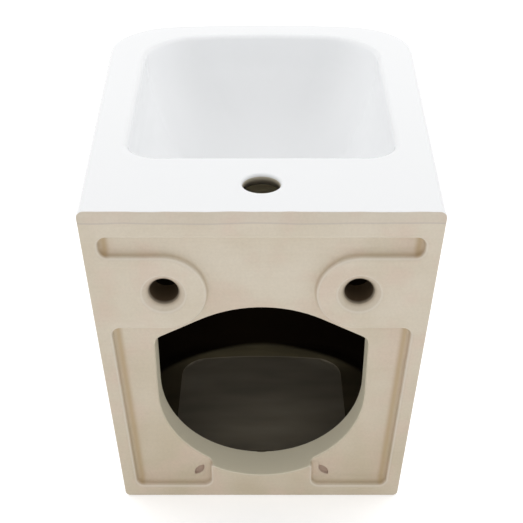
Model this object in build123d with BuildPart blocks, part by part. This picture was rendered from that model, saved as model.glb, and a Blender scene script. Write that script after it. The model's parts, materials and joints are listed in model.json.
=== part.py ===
from build123d import *
import math
import os

# Wall-hung bidet: one ceramic casting with a push-open waste in its bowl.
# Millimetres. X runs along the wall, Y out of the wall into the room, Z up.
# The origin lies on the wall plane, midway between the two wall fixing holes.

# Ceramic outside
ceramic_height = 350.0
ceramic_depth = 480.0
rim_above_fixings = 88.0
back_width = 324.0
base_back_width = 289.0
base_depth = 245.0
side_flare = 3.0
front_bow_radius = 930.0
rim_corner_radius = 80.0
base_corner_radius = 92.0
belly_power = 2.2
belly_steps = (0.0, 0.2, 0.4, 0.6, 0.8, 1.0)
rim_edge_radius = 7.0
base_edge_radius = 5.0
back_edge_radius = 2.0
wall_overrun = 30.0
cut_overrun = 5.0
pick_tolerance = 0.1

# Ceramic walls
skirt_wall = 10.0
back_wall = 18.0
deck_thickness = 11.0
floor_thickness = 11.0
bowl_wall = 9.0
cavity_corner_radius = 16.0

# Bowl
bowl_rear = 106.0
bowl_front = 438.0
bowl_rear_width = 262.0
bowl_front_width = 279.0
bowl_rear_corner = 32.0
bowl_front_corner = 68.0
bowl_front_bow = 700.0
bowl_depth = 138.0
bowl_end_power = 2.6
bowl_side_power = 2.0
bowl_fullness = 0.985
bowl_steps = (0.0, 0.22, 0.44, 0.63, 0.78, 0.89, 0.96, 1.0)
bowl_edge_radius = 6.0

# Waste seat and boss under the bowl
drain_from_wall = 225.0
drain_pad_radius = 39.0
drain_pad_roundness = 0.96
seat_radius = 33.5
seat_depth = 5.0
waste_hole_radius = 23.0
boss_radius = 42.0
boss_drop = 46.0

# Overflow
overflow_below_rim = 46.0
overflow_radius = 10.0
duct_radius = 8.0
duct_wall = 5.0
duct_from_wall = 92.0
duct_bend = 26.0
duct_outlet_below_bowl = 30.0
duct_fall = 50.0

# Tap hole in the deck
tap_from_wall = 52.5
tap_hole_radius = 17.5
tap_edge_radius = 3.0

# Wall fixings
fixing_spacing = 180.0
fixing_hole_radius = 13.5
fixing_mouth_radius = 22.0
fixing_mouth_depth = 7.0
fixing_mouth_round = 5.0
fixing_boss_radius = 28.0
fixing_boss_depth = 35.0
fixing_pad_radius = 40.0

# Relief of the unglazed back
relief_depth = 10.0
relief_top_margin = 28.0
relief_side_margin = 14.5
relief_bottom_margin = 15.0
relief_corner = 8.0
relief_round = 4.4
sill_half_width = 53.0
mark_length = 17.0
mark_width = 8.0
mark_depth = 3.0
mark_from_centre = 65.5
mark_above_base = 29.0
mark_turn = 55.0

# Service opening in the back
opening_half_width = 102.8
opening_crown_below_rim = 110.0
opening_crown_radius = 125.0
opening_roof_slope = 27.5
opening_foot_above_base = 30.2
opening_corner = 12.0
opening_lip_depth = 35.0
opening_lip_wall = 12.0
opening_edge_radius = 2.0

# Shallow panel in the cavity floor
panel_half_width = 97.0
panel_front = 223.0
panel_rear = 56.0
panel_corner = 32.0
panel_depth = 3.0
panel_bow = 9.0

# Waste body
flange_radius = 32.0
flange_thickness = 3.0
flange_edge_radius = 2.0
tube_radius = 20.9
tube_bore_radius = 18.0
seat_cone_radius = 22.5
seat_cone_depth = 4.5
tube_below_nut = 2.0
outlet_radius = 20.0
outlet_length = 13.0
window_count = 4
window_width = 12.0
window_height = 14.0
spider_drop = 18.0
spider_height = 6.0
spider_arm_width = 4.0
spider_arm_count = 3
hub_radius = 11.5
hub_height = 8.0
hub_bore_radius = 8.2
spider_root = 1.0

# Seals, washer and nut under the bowl
flange_seal_radius = 31.0
flange_seal_thickness = 2.0
cone_seal_radius = 30.0
cone_seal_foot_radius = 27.0
cone_seal_thickness = 6.0
cone_seal_nose = 4.0
slip_washer_radius = 29.0
slip_washer_thickness = 2.0
back_nut_flats = 56.0
back_nut_thickness = 9.0
back_nut_chamfer = 2.0
thread_clearance = 0.2
loose_clearance = 0.4

# Push-open cartridge
plug_travel = 8.0
barrel_clearance = 0.1
barrel_collar_radius = 10.5
barrel_collar_height = 3.0
barrel_bore_radius = 6.2
barrel_floor = 2.0
cap_height = 3.0
cap_spigot_length = 3.0
cap_spigot_clearance = 0.2
stem_radius = 4.0
stem_clearance = 0.2
groove_count = 4
rib_inner_radius = 5.1
lug_width = 3.8
lug_clearance = 0.2
pilot_radius = 2.4
pilot_length = 4.0
plunger_height = 4.0
rotor_height = 8.0
rotor_lug_height = 4.0
pilot_clearance = 0.2
tooth_count = 8
tooth_depth = 1.0
tooth_width = 2.0
latch_gap = 0.2
spring_wire = 0.9
spring_mean_radius = 4.4
spring_turns = 6
spring_length = 24.0

# Plug
plug_radius = 28.0
plug_edge_height = 2.6
plug_crown = 2.2
plug_edge_radius = 1.0
plug_seat_gap = 0.5
plug_seal_clearance = 0.3
plug_seal_thickness = 3.0
plug_boss_radius = 14.0
plug_neck_radius = 7.0
plug_neck_height = 4.0
plug_socket_depth = 5.6
stem_nut_flats = 13.0
stem_nut_thickness = 4.0

# Heights worked out from the sizes above
rim_z = rim_above_fixings
base_z = rim_z - ceramic_height
floor_z = base_z + floor_thickness
deck_under_z = rim_z - deck_thickness
bowl_z = rim_z - bowl_depth
seat_z = bowl_z - seat_depth
boss_z = bowl_z - boss_drop
flange_under_z = seat_z + flange_seal_thickness
flange_top_z = flange_under_z + flange_thickness
duct_outlet_z = bowl_z - duct_outlet_below_bowl
overflow_z = rim_z - overflow_below_rim
duct_top_z = overflow_z + overflow_radius
cone_seal_z = boss_z - cone_seal_thickness
slip_washer_z = cone_seal_z - slip_washer_thickness
back_nut_z = slip_washer_z - back_nut_thickness
tube_end_z = back_nut_z - tube_below_nut
outlet_end_z = tube_end_z - outlet_length
hub_top_z = flange_top_z - spider_drop
barrel_top_z = hub_top_z + barrel_collar_height
cap_stop_z = barrel_top_z - cap_spigot_length
plunger_top_z = cap_stop_z - latch_gap
plunger_z = plunger_top_z - plunger_height
rotor_top_z = plunger_z - latch_gap
rotor_z = rotor_top_z - rotor_height
lug_top_z = rotor_top_z - tooth_depth
rib_end_z = lug_top_z - plug_travel + latch_gap
barrel_floor_z = rotor_z - spring_length
barrel_end_z = barrel_floor_z - barrel_floor
plug_under_z = flange_top_z + plug_seat_gap + plug_travel
neck_end_z = plug_under_z - plug_neck_height
stem_top_z = neck_end_z + plug_socket_depth - latch_gap
seat_slope = (seat_cone_radius - tube_bore_radius) / seat_cone_depth
plug_seal_radius = seat_cone_radius + plug_seat_gap * seat_slope - plug_seal_clearance
plug_seal_foot_radius = plug_seal_radius - plug_seal_thickness * seat_slope
lug_radius = barrel_bore_radius - lug_clearance
lug_core_radius = rib_inner_radius - lug_clearance
flare_slope = math.tan(math.radians(side_flare))
back_lean = (back_width - base_back_width) / 2 / ceramic_height
cavity_height = deck_under_z - floor_z
relief_top_z = rim_z - relief_top_margin
relief_bottom_z = base_z + relief_bottom_margin
springing_z = base_z + opening_foot_above_base + opening_half_width
crown_z = rim_z - opening_crown_below_rim
mouth_angle = 2 * math.degrees(math.atan((fixing_mouth_radius - fixing_hole_radius) / fixing_mouth_depth))
roof_lean = math.radians(opening_roof_slope)
mark_arc_radius = (mark_length**2 + mark_width**2) / 4 / mark_width


def back_plane_at(y):
    """Upright plane y out from the wall, seen from the wall side."""
    return Plane((0, y, 0), x_dir=(1, 0, 0), z_dir=(0, -1, 0))


def drain_plane(z):
    """Horizontal plane at height z, centred on the waste axis."""
    return Plane((0, drain_from_wall, z))


def belly_depth(share):
    """Depth of the ceramic at a share of its height below the rim."""
    return ceramic_depth - (ceramic_depth - base_depth) * share**belly_power


def belly_slope(share):
    """How far the front runs back for each millimetre down, at that share."""
    return (ceramic_depth - base_depth) * belly_power * share ** (belly_power - 1) / ceramic_height


def skirt_section(z, rear, wall):
    """Plan of the skirt at height z, from the plane y = rear, set in by a wall thickness."""
    share = (rim_z - z) / ceramic_height
    corner = rim_corner_radius + (base_corner_radius - rim_corner_radius) * share - wall
    front = belly_depth(share) - wall * math.hypot(1, belly_slope(share))
    half = back_width / 2 - back_lean * (rim_z - z) - wall
    rear_half = half + rear * flare_slope
    front_half = half + front * flare_slope
    bow = front_bow_radius - math.sqrt(front_bow_radius**2 - front_half**2)
    with BuildSketch(Plane.XY.offset(z)) as section:
        with BuildLine():
            Line((-rear_half, rear), (rear_half, rear))
            Line((rear_half, rear), (front_half, front - bow))
            ThreePointArc((front_half, front - bow), (0, front), (-front_half, front - bow))
            Line((-front_half, front - bow), (-rear_half, rear))
        make_face()
        fillet(section.vertices().group_by(Axis.Y)[-1], corner)
    return section.sketch


def bowl_inset(share, power):
    """Share of the way in from rim to drain pad at a share of the bowl's depth."""
    reach = 1 - (1 - bowl_fullness**power) ** (1 / power)
    return (1 - (1 - (bowl_fullness * share) ** power) ** (1 / power)) / reach


def bowl_roundness(at_rim, inset):
    """Corner radius over half width, which grows from the rim towards the round drain pad."""
    return at_rim + (drain_pad_roundness - at_rim) * math.sqrt(inset)


def bowl_section(share, grow):
    """Plan of the bowl at a share of its depth, grown outwards by a wall thickness."""
    ends = bowl_inset(share, bowl_end_power)
    sides = bowl_inset(share, bowl_side_power)
    rear = bowl_rear + (drain_from_wall - drain_pad_radius - bowl_rear) * ends - grow
    front = bowl_front + (drain_from_wall + drain_pad_radius - bowl_front) * ends + grow
    rear_half = bowl_rear_width / 2 + (drain_pad_radius - bowl_rear_width / 2) * sides + grow
    front_half = bowl_front_width / 2 + (drain_pad_radius - bowl_front_width / 2) * sides + grow
    rear_round = bowl_roundness(2 * bowl_rear_corner / bowl_rear_width, ends)
    front_round = bowl_roundness(2 * bowl_front_corner / bowl_front_width, ends)
    rear_corner = (rear_half - grow) * rear_round + grow
    front_corner = (front_half - grow) * front_round + grow
    bow = bowl_front_bow - math.sqrt(bowl_front_bow**2 - front_half**2)
    depth = bowl_depth * share + grow * share
    with BuildSketch(Plane.XY.offset(rim_z - depth)) as section:
        with BuildLine():
            Line((-rear_half, rear), (rear_half, rear))
            Line((rear_half, rear), (front_half, front - bow))
            ThreePointArc((front_half, front - bow), (0, front), (-front_half, front - bow))
            Line((-front_half, front - bow), (-rear_half, rear))
        make_face()
        fillet(section.vertices().group_by(Axis.Y)[-1], front_corner)
        fillet(section.vertices().group_by(Axis.Y)[0], rear_corner)
    return section.sketch


def opening_outline(y, grow):
    """Outline of the service opening on the plane at depth y: arched crown, sloped roof, round foot."""
    half = opening_half_width
    haunch_x = opening_crown_radius * math.sin(roof_lean)
    haunch_z = crown_z - opening_crown_radius * (1 - math.cos(roof_lean))
    shoulder_z = haunch_z - (half - haunch_x) * math.tan(roof_lean)
    with BuildSketch(back_plane_at(y)) as outline:
        with BuildLine():
            ThreePointArc((-haunch_x, haunch_z), (0, crown_z), (haunch_x, haunch_z))
            Line((haunch_x, haunch_z), (half, shoulder_z))
            Line((half, shoulder_z), (half, springing_z))
            ThreePointArc((half, springing_z), (0, springing_z - half), (-half, springing_z))
            Line((-half, springing_z), (-half, shoulder_z))
            Line((-half, shoulder_z), (-haunch_x, haunch_z))
        make_face()
        shoulders = outline.vertices().filter_by(lambda corner: math.isclose(corner.Y, shoulder_z))
        fillet(shoulders, opening_corner)
        if grow:
            offset(amount=grow, mode=Mode.REPLACE)
    return outline.sketch


def relief_half_width(z):
    """Half width of the back relief at height z, parallel to the leaning sides."""
    return back_width / 2 - back_lean * (rim_z - z) - relief_side_margin


def duct_path(top, end):
    """Route of the overflow duct: down behind the bowl, then forward to the waste."""
    with BuildLine(Plane.YZ) as route:
        FilletPolyline(
            (duct_from_wall, top),
            (duct_from_wall, duct_outlet_z + duct_fall),
            (end, duct_outlet_z),
            radius=duct_bend,
        )
    return route.line


# Planes and sections the ceramic is built on
back_plane = back_plane_at(0)
fixing_planes = [Plane((side * fixing_spacing / 2, 0, 0), x_dir=(1, 0, 0), z_dir=(0, -1, 0))
                 for side in (-1, 1)]
skirt = [skirt_section(rim_z - share * ceramic_height, -wall_overrun, 0) for share in belly_steps]
cavity = [skirt_section(deck_under_z - share * cavity_height, back_wall, skirt_wall)
          for share in belly_steps]
bowl_inside = [bowl_section(share, 0) for share in bowl_steps]
bowl_outside = [bowl_section(share, bowl_wall) for share in bowl_steps]

# Core that leaves the hollow between skirt, bowl and floor
with BuildPart() as hollow:
    loft(cavity)
    fillet(hollow.faces().sort_by(Axis.Z)[0].edges(), cavity_corner_radius)

# Ceramic: lofted skirt with a relieved back, hollow inside, bowl, boss and overflow duct
with BuildPart() as body:
    loft(skirt)
    split(bisect_by=Plane((0, 0, 0), z_dir=(0, 1, 0)), keep=Keep.TOP)
    fillet(body.faces().sort_by(Axis.Z)[-1].edges().sort_by(Axis.Y)[1:], rim_edge_radius)
    fillet(body.faces().sort_by(Axis.Z)[0].edges().sort_by(Axis.Y)[1:], base_edge_radius)
    fillet(body.faces().sort_by(Axis.Y)[0].edges(), back_edge_radius)
    with BuildSketch(back_plane) as relief:
        with BuildLine():
            Polyline(
                (-relief_half_width(relief_top_z), relief_top_z),
                (relief_half_width(relief_top_z), relief_top_z),
                (relief_half_width(relief_bottom_z), relief_bottom_z),
                (-relief_half_width(relief_bottom_z), relief_bottom_z),
                close=True,
            )
        make_face()
        with Locations((fixing_spacing / 2, 0), (-fixing_spacing / 2, 0)):
            Circle(fixing_pad_radius, mode=Mode.SUBTRACT)
        with Locations((fixing_spacing / 2, 0)):
            Rectangle(fixing_spacing, 2 * fixing_pad_radius,
                      align=(Align.MIN, Align.CENTER), mode=Mode.SUBTRACT)
        with Locations((-fixing_spacing / 2, 0)):
            Rectangle(fixing_spacing, 2 * fixing_pad_radius,
                      align=(Align.MAX, Align.CENTER), mode=Mode.SUBTRACT)
        with Locations((0, base_z)):
            Rectangle(2 * sill_half_width, springing_z - base_z,
                      align=(Align.CENTER, Align.MIN), mode=Mode.SUBTRACT)
        sharp = relief.vertices().filter_by(
            lambda corner: abs(abs(corner.X) - fixing_spacing / 2) > pick_tolerance)
        fillet(sharp, relief_corner)
    extrude(amount=-relief_depth, mode=Mode.SUBTRACT)
    relief_floor = body.faces().filter_by(Plane.XZ).filter_by_position(
        Axis.Y, relief_depth - pick_tolerance, relief_depth + pick_tolerance)
    fillet(relief_floor.edges(), relief_round)
    fillet(body.faces().filter_by(Plane.XZ).sort_by(Axis.Y)[0].inner_wires().edges(), relief_round)
    add(hollow.part, mode=Mode.SUBTRACT)
    for side in (-1, 1):
        lie = (math.cos(math.radians(mark_turn)), 0, -side * math.sin(math.radians(mark_turn)))
        mark_plane = Plane((side * mark_from_centre, relief_depth, base_z + mark_above_base),
                           x_dir=lie, z_dir=(0, -1, 0))
        with BuildSketch(mark_plane):
            with Locations((0, mark_width / 2 - mark_arc_radius)):
                Circle(mark_arc_radius)
            with Locations((0, mark_arc_radius - mark_width / 2)):
                Circle(mark_arc_radius, mode=Mode.INTERSECT)
        extrude(amount=-mark_depth, mode=Mode.SUBTRACT)
    with BuildSketch(Plane.XY.offset(floor_z)) as panel:
        with BuildLine():
            Line((-panel_half_width, panel_rear), (panel_half_width, panel_rear))
            Line((panel_half_width, panel_rear), (panel_half_width, panel_front - panel_bow))
            ThreePointArc((panel_half_width, panel_front - panel_bow), (0, panel_front),
                          (-panel_half_width, panel_front - panel_bow))
            Line((-panel_half_width, panel_front - panel_bow), (-panel_half_width, panel_rear))
        make_face()
        fillet(panel.vertices().group_by(Axis.Y)[-1], panel_corner)
    extrude(amount=-panel_depth, mode=Mode.SUBTRACT)
    loft(bowl_outside)
    with BuildSketch(drain_plane(boss_z)):
        Circle(boss_radius)
    extrude(amount=bowl_z - boss_z)
    with BuildSketch(Plane.XY.offset(duct_top_z + duct_wall)):
        with Locations((0, duct_from_wall)):
            Circle(duct_radius + duct_wall)
    sweep(path=duct_path(duct_top_z + duct_wall, drain_from_wall - waste_hole_radius))
    extrude(opening_outline(opening_lip_depth, opening_lip_wall), amount=opening_lip_depth - back_wall)
    with BuildSketch(back_plane_at(fixing_boss_depth)):
        with Locations((fixing_spacing / 2, 0), (-fixing_spacing / 2, 0)):
            Circle(fixing_boss_radius)
    extrude(amount=fixing_boss_depth - back_wall)
    loft(bowl_inside, mode=Mode.SUBTRACT)
    top = body.faces().filter_by(Axis.Z).sort_by(Axis.Z)[-1]
    fillet(top.inner_wires()[0].edges(), bowl_edge_radius)
    extrude(opening_outline(opening_lip_depth + cut_overrun, 0),
            amount=opening_lip_depth + 2 * cut_overrun, mode=Mode.SUBTRACT)
    opening_wire = opening_outline(0, 0).wires()[0]
    opening_mouth = body.edges().filter_by(
        lambda edge: (edge @ 0.5).Y < relief_depth + pick_tolerance
        and opening_wire.distance_to(Vertex((edge @ 0.5).X, 0, (edge @ 0.5).Z)) < pick_tolerance)
    fillet(opening_mouth, opening_edge_radius)
    with Locations(*fixing_planes):
        CounterSinkHole(fixing_hole_radius, fixing_mouth_radius, fixing_boss_depth + cut_overrun,
                        mouth_angle)
    mouths = body.edges().filter_by(GeomType.CIRCLE).filter_by(
        lambda edge: math.isclose(edge.radius, fixing_mouth_radius))
    fillet(mouths, fixing_mouth_round)
    with Locations((0, tap_from_wall, rim_z)):
        Hole(tap_hole_radius, deck_thickness + cut_overrun)
    tap_edge = body.edges().filter_by(GeomType.CIRCLE).filter_by(
        lambda edge: math.isclose(edge.radius, tap_hole_radius)).sort_by(Axis.Z)[-1]
    fillet(tap_edge, tap_edge_radius)
    with BuildSketch(drain_plane(seat_z)):
        Circle(seat_radius)
    extrude(amount=seat_depth + cut_overrun, mode=Mode.SUBTRACT)
    with BuildSketch(drain_plane(boss_z - cut_overrun)):
        Circle(waste_hole_radius)
    extrude(amount=boss_drop + cut_overrun, mode=Mode.SUBTRACT)
    with BuildSketch(Plane.XY.offset(duct_top_z)):
        with Locations((0, duct_from_wall)):
            Circle(duct_radius)
    sweep(path=duct_path(duct_top_z, drain_from_wall - waste_hole_radius + cut_overrun), mode=Mode.SUBTRACT)
    with BuildSketch(Plane((0, duct_from_wall, overflow_z), x_dir=(1, 0, 0), z_dir=(0, 1, 0))):
        Circle(overflow_radius)
    extrude(amount=bowl_rear + bowl_rear_corner - duct_from_wall, mode=Mode.SUBTRACT)
    body.part.label = "ceramic_body"

# Axis and section plane shared by the pieces of the waste
waste_axis = Axis((0, drain_from_wall, 0), (0, 0, 1))
waste_section = back_plane_at(drain_from_wall)

# Waste body: flange with a sloped seat, threaded tube, overflow windows and the spider
with BuildPart() as waste:
    with BuildSketch(waste_section):
        with BuildLine():
            Polyline(
                (tube_bore_radius, flange_top_z - seat_cone_depth),
                (seat_cone_radius, flange_top_z),
                (flange_radius, flange_top_z),
                (flange_radius, flange_under_z),
                (tube_radius, flange_under_z),
                (tube_radius, tube_end_z),
                (outlet_radius, tube_end_z),
                (outlet_radius, outlet_end_z),
                (tube_bore_radius, outlet_end_z),
                close=True,
            )
        make_face()
    revolve(axis=waste_axis)
    fillet(waste.faces().sort_by(Axis.Z)[-1].outer_wire().edges(), flange_edge_radius)
    with BuildSketch(drain_plane(hub_top_z - spider_height)):
        with PolarLocations(0, spider_arm_count, start_angle=90):
            Rectangle(tube_bore_radius + spider_root, spider_arm_width, align=(Align.MIN, Align.CENTER))
    extrude(amount=spider_height)
    with BuildSketch(drain_plane(hub_top_z - hub_height)):
        Circle(hub_radius)
    extrude(amount=hub_height)
    with BuildSketch(drain_plane(hub_top_z - hub_height)):
        Circle(hub_bore_radius)
    extrude(amount=hub_height, mode=Mode.SUBTRACT)
    with BuildSketch(drain_plane(duct_outlet_z - window_height / 2)):
        with PolarLocations((tube_radius + tube_bore_radius) / 2, window_count, start_angle=90):
            Rectangle(2 * (tube_radius - tube_bore_radius), window_width)
    extrude(amount=window_height, mode=Mode.SUBTRACT)
    waste.part.label = "waste_body"

# Rubber ring between flange and bowl
with BuildPart() as flange_seal:
    with BuildSketch(drain_plane(seat_z)):
        Circle(flange_seal_radius)
        Circle(tube_radius + loose_clearance, mode=Mode.SUBTRACT)
    extrude(amount=flange_seal_thickness)
    flange_seal.part.label = "flange_seal"

# Tapered rubber ring whose nose centres the tube in the boss
with BuildPart() as cone_seal:
    with BuildSketch(waste_section):
        with BuildLine():
            Polyline(
                (tube_radius + thread_clearance, boss_z + cone_seal_nose),
                (waste_hole_radius - loose_clearance, boss_z + cone_seal_nose / 2),
                (waste_hole_radius - loose_clearance, boss_z),
                (cone_seal_radius, boss_z),
                (cone_seal_radius, boss_z - cone_seal_thickness / 2),
                (cone_seal_foot_radius, cone_seal_z),
                (tube_radius + thread_clearance, cone_seal_z),
                close=True,
            )
        make_face()
    revolve(axis=waste_axis)
    cone_seal.part.label = "cone_seal"

# Plastic ring that lets the nut turn without dragging the rubber
with BuildPart() as slip_washer:
    with BuildSketch(drain_plane(slip_washer_z)):
        Circle(slip_washer_radius)
        Circle(tube_radius + loose_clearance, mode=Mode.SUBTRACT)
    extrude(amount=slip_washer_thickness)
    slip_washer.part.label = "slip_washer"

# Hexagon nut that draws the waste down on its seals
with BuildPart() as back_nut:
    with BuildSketch(drain_plane(back_nut_z)):
        RegularPolygon(back_nut_flats / 2, 6, major_radius=False)
        Circle(tube_radius + thread_clearance, mode=Mode.SUBTRACT)
    extrude(amount=back_nut_thickness)
    chamfer(back_nut.faces().sort_by(Axis.Z)[0].outer_wire().edges(), back_nut_chamfer)
    back_nut.part.label = "back_nut"

# Barrel of the push-open latch: collar on the hub, grooved guide, plain spring chamber
with BuildPart() as barrel:
    with BuildSketch(drain_plane(barrel_end_z)):
        Circle(hub_bore_radius - barrel_clearance)
    extrude(amount=barrel_top_z - barrel_end_z)
    with BuildSketch(drain_plane(hub_top_z)):
        Circle(barrel_collar_radius)
    extrude(amount=barrel_collar_height)
    with BuildSketch(drain_plane(barrel_floor_z)):
        Circle(barrel_bore_radius)
    extrude(amount=rib_end_z - barrel_floor_z, mode=Mode.SUBTRACT)
    with BuildSketch(drain_plane(rib_end_z)):
        with PolarLocations(0, groove_count):
            Rectangle(2 * barrel_bore_radius, lug_width + 2 * lug_clearance)
        Circle(barrel_bore_radius, mode=Mode.INTERSECT)
        Circle(rib_inner_radius)
    extrude(amount=cap_stop_z - rib_end_z, mode=Mode.SUBTRACT)
    with BuildSketch(drain_plane(cap_stop_z)):
        Circle(barrel_bore_radius)
    extrude(amount=cap_spigot_length, mode=Mode.SUBTRACT)
    barrel.part.label = "cartridge_barrel"

# Ring that closes the barrel and stops the plunger
with BuildPart() as barrel_cap:
    with BuildSketch(drain_plane(barrel_top_z)):
        Circle(barrel_collar_radius)
    extrude(amount=cap_height)
    with BuildSketch(drain_plane(cap_stop_z)):
        Circle(barrel_bore_radius - cap_spigot_clearance)
    extrude(amount=cap_spigot_length)
    with BuildSketch(drain_plane(cap_stop_z)):
        Circle(stem_radius + stem_clearance)
    extrude(amount=cap_height + cap_spigot_length, mode=Mode.SUBTRACT)
    barrel_cap.part.label = "cartridge_cap"

# Toothed rotor whose lugs run in the grooves or catch under the ribs
with BuildPart() as rotor:
    with BuildSketch(drain_plane(rotor_z)):
        Circle(lug_core_radius)
    extrude(amount=rotor_height)
    with BuildSketch(drain_plane(lug_top_z - rotor_lug_height)):
        with PolarLocations(0, groove_count):
            Rectangle(2 * lug_radius, lug_width)
        Circle(lug_radius, mode=Mode.INTERSECT)
    extrude(amount=rotor_lug_height)
    with BuildSketch(drain_plane(rotor_top_z - tooth_depth)):
        with PolarLocations(0, tooth_count, start_angle=180 / tooth_count):
            Rectangle(lug_radius, tooth_width, align=(Align.MIN, Align.CENTER))
    extrude(amount=tooth_depth, mode=Mode.SUBTRACT)
    with BuildSketch(drain_plane(rotor_z)):
        Circle(pilot_radius + pilot_clearance)
    extrude(amount=rotor_height, mode=Mode.SUBTRACT)
    rotor.part.label = "latch_rotor"

# Coil spring under the rotor
spring_height = spring_length - spring_wire - 2 * latch_gap
with BuildPart() as spring:
    with BuildLine() as coil:
        Helix(spring_height / spring_turns, spring_height, spring_mean_radius,
              center=(0, drain_from_wall, barrel_floor_z + spring_wire / 2 + latch_gap))
    with BuildSketch(Plane(coil.line @ 0, z_dir=coil.line % 0)):
        Circle(spring_wire / 2)
    sweep()
    spring.part.label = "return_spring"

# Plunger: threaded stem, splined head with teeth, pilot in the rotor
with BuildPart() as stem:
    with BuildSketch(drain_plane(plunger_z)):
        with PolarLocations(0, groove_count):
            Rectangle(2 * lug_radius, lug_width)
        Circle(lug_radius, mode=Mode.INTERSECT)
        Circle(lug_core_radius)
    extrude(amount=plunger_height)
    with BuildSketch(drain_plane(plunger_z)):
        with PolarLocations(0, tooth_count, start_angle=180 / tooth_count):
            Rectangle(lug_radius, tooth_width, align=(Align.MIN, Align.CENTER))
    extrude(amount=tooth_depth, mode=Mode.SUBTRACT)
    with BuildSketch(drain_plane(plunger_z - pilot_length)):
        Circle(pilot_radius)
    extrude(amount=pilot_length + tooth_depth)
    with BuildSketch(drain_plane(plunger_top_z)):
        Circle(stem_radius)
    extrude(amount=stem_top_z - plunger_top_z)
    stem.part.label = "plug_stem"

# Lock nut that fixes the plug's height on the stem
with BuildPart() as stem_nut:
    with BuildSketch(drain_plane(neck_end_z - stem_nut_thickness)):
        RegularPolygon(stem_nut_flats / 2, 6, major_radius=False)
        Circle(stem_radius + stem_clearance, mode=Mode.SUBTRACT)
    extrude(amount=stem_nut_thickness)
    stem_nut.part.label = "stem_nut"

# Domed plug with a boss for its seal and a threaded neck
with BuildPart() as plug:
    edge_z = plug_under_z + plug_edge_height
    with BuildSketch(waste_section):
        with BuildLine():
            dome = TangentArc((0, edge_z + plug_crown), (plug_radius, edge_z), tangent=(1, 0))
            Polyline(
                dome @ 1,
                (plug_radius, plug_under_z),
                (plug_boss_radius, plug_under_z),
                (plug_boss_radius, plug_under_z - plug_seal_thickness),
                (plug_neck_radius, plug_under_z - plug_seal_thickness),
                (plug_neck_radius, neck_end_z),
                (stem_radius + stem_clearance, neck_end_z),
                (stem_radius + stem_clearance, neck_end_z + plug_socket_depth),
                (0, neck_end_z + plug_socket_depth),
                dome @ 0,
            )
        make_face()
    revolve(axis=waste_axis)
    rim_circles = plug.edges().filter_by(GeomType.CIRCLE).filter_by(
        lambda edge: math.isclose(edge.radius, plug_radius))
    fillet(rim_circles, plug_edge_radius)
    plug.part.label = "plug_cap"

# Tapered rubber ring round the plug's boss
with BuildPart() as plug_seal:
    with BuildSketch(waste_section):
        with BuildLine():
            Polyline(
                (plug_boss_radius + plug_seal_clearance, plug_under_z),
                (plug_seal_radius, plug_under_z),
                (plug_seal_foot_radius, plug_under_z - plug_seal_thickness),
                (plug_boss_radius + plug_seal_clearance, plug_under_z - plug_seal_thickness),
                close=True,
            )
        make_face()
    revolve(axis=waste_axis)
    plug_seal.part.label = "plug_seal"

pieces = (body, waste, flange_seal, cone_seal, slip_washer, back_nut, barrel, barrel_cap,
          rotor, spring, stem, stem_nut, plug, plug_seal)
os.makedirs("parts", exist_ok=True)
for piece in pieces:
    export_step(piece.part, f"parts/{piece.part.label}.step")
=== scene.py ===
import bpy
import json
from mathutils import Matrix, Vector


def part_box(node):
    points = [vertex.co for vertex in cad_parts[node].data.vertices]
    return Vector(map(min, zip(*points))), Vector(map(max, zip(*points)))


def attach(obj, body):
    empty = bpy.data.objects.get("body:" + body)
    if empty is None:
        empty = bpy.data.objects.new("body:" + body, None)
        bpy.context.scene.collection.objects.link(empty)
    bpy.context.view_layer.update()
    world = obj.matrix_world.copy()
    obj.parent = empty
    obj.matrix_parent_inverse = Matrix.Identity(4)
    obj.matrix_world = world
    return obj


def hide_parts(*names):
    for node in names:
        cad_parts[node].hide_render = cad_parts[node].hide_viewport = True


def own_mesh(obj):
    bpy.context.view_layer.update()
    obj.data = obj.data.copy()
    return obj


bl_info = {
    "name": "Wall-hung bidet",
    "version": (1, 0, 0),
    "blender": (4, 5, 0),
    "location": "View3D > Sidebar > Bidet",
    "description": "Finishes a wall-hung ceramic bidet and its push-open waste, and lights it",
    "category": "Object",
}

import json
import math

import bmesh
import bpy
from bpy.props import FloatProperty, FloatVectorProperty, PointerProperty
from bpy.types import Operator, Panel, PropertyGroup
from mathutils import Vector

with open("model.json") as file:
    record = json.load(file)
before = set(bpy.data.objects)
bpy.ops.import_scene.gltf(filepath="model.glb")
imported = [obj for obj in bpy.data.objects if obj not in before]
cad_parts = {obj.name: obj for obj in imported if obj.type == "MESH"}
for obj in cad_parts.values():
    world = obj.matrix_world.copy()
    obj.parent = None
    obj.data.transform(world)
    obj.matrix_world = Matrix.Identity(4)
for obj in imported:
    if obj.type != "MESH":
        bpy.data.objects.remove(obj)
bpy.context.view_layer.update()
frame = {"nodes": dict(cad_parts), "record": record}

MM = 0.001
MERGE_DISTANCE = 0.01 * MM
SMOOTH_ANGLE = math.radians(32)
WHITE = (1, 1, 1, 1)

# What the settings of one kind share
COLOUR = {"subtype": "COLOR", "size": 4, "min": 0, "max": 1}
LENGTH = {"subtype": "DISTANCE", "unit": "LENGTH"}
POWER = {"unit": "POWER", "min": 0}

# Corners of the ceramic and of the waste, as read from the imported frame
CERAMIC_LOW, CERAMIC_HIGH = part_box("ceramic_body")
FLANGE_LOW, FLANGE_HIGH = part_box("waste_body")
DRAIN = (FLANGE_LOW + FLANGE_HIGH) / 2
FLANGE_RADIUS = (FLANGE_HIGH.x - FLANGE_LOW.x) / 2

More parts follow.
